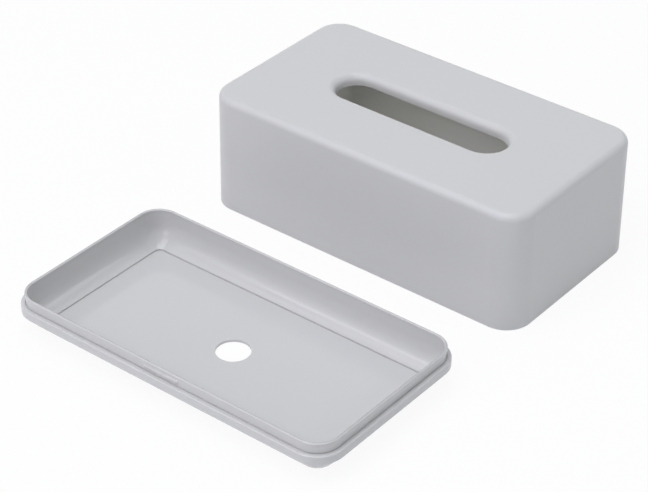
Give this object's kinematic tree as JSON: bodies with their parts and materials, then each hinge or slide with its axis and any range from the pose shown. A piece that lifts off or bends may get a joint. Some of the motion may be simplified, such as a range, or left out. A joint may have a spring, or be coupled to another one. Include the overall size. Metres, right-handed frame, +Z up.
{
  "type": "tissue box",
  "caption": "Two-piece moulded tissue case: a deep cover with a rolled dispensing slot and a shallow snap-in base tray, laid out side by side.",
  "frame": {"origin": "on the surface that both pieces stand on, midway between the cover and the tray", "axes": "+Z up, +X along the case's length, +Y from the tray in front to the cover behind it"},
  "size_m": [0.26, 0.3393, 0.0885],
  "materials": {
    "cover_plastic": "smooth satin moulded plastic, pale cool grey",
    "tray_plastic": "smooth satin moulded plastic, pale cool grey"
  },
  "bodies": {
    "base_tray": {"base_tray": "tray_plastic"},
    "cover": {"cover": "cover_plastic"}
  },
  "joints": [
    {"name": "cover_lift", "type": "slide", "parent": "base_tray", "child": "cover", "axis": [0, 0, 1], "range_m": [0, 0.12]}
  ]
}
